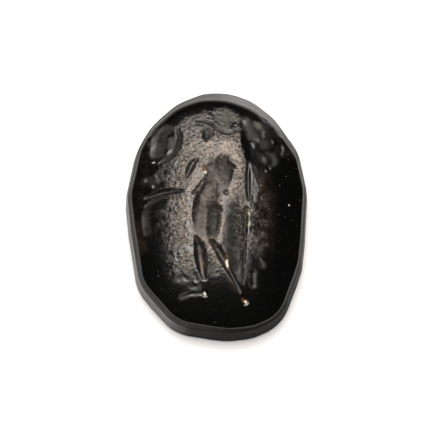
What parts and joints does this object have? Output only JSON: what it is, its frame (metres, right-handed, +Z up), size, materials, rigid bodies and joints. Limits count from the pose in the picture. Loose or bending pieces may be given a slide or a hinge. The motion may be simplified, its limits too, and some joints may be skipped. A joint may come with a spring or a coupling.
{
  "type": "intaglio ring stone",
  "caption": "Small oval dark ring stone with a domed face, ground sides and a flat back, its face cut with a standing figure, a staff, a crescent, a ring and small marks.",
  "frame": {"origin": "middle of the box of the flat back, on the surface that the stone lies on", "axes": "+Z up out of the carved face, +Y along the stone towards the figure's head, +X to the right when the face is looked at"},
  "size_m": [0.0102, 0.0142, 0.0036],
  "materials": {
    "dark_stone": "worn polished near black stone, duller in the cuts"
  },
  "bodies": {
    "root": {"intaglio_stone": "dark_stone"}
  },
  "joints": []
}
